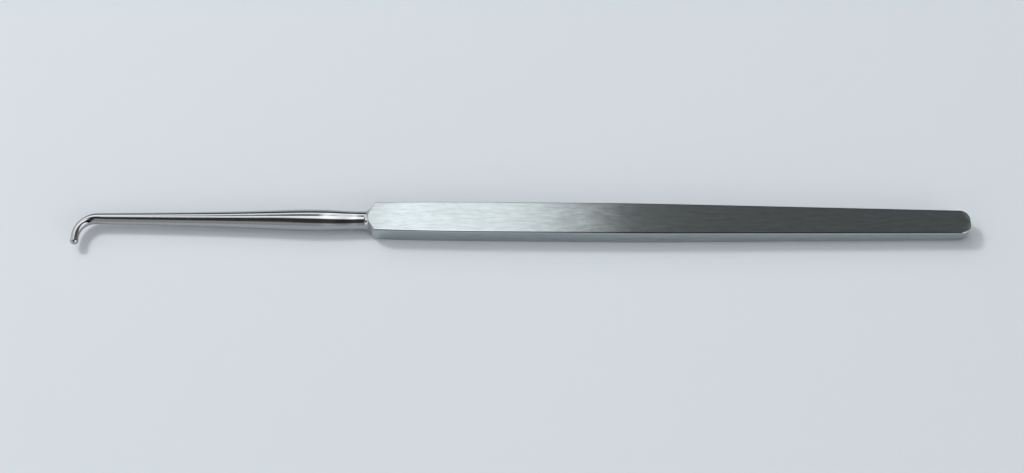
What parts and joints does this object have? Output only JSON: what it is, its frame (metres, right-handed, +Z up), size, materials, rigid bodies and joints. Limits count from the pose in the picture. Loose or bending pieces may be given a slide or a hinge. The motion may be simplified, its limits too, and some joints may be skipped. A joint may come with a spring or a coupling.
{
  "type": "nerve hook",
  "caption": "Blunt surgical nerve hook: flat satin handle, turned shoulder, swelling tapered shaft and a right-angled hook with a small ball on its tip.",
  "frame": {"origin": "on the handle's underside, on its centre line, at the station where the turned shoulder has opened to the handle's full width", "axes": "+X along the instrument towards the rear end of the handle, the hook points along -Y, +Z up out of the handle's upper broad face"},
  "size_m": [0.1845, 0.0094, 0.0045],
  "materials": {
    "stainless_steel": "fine satin on the handle, mirror polish on the shoulder, shaft and hook"
  },
  "bodies": {
    "root": {"nerve_hook": "stainless_steel"}
  },
  "joints": []
}
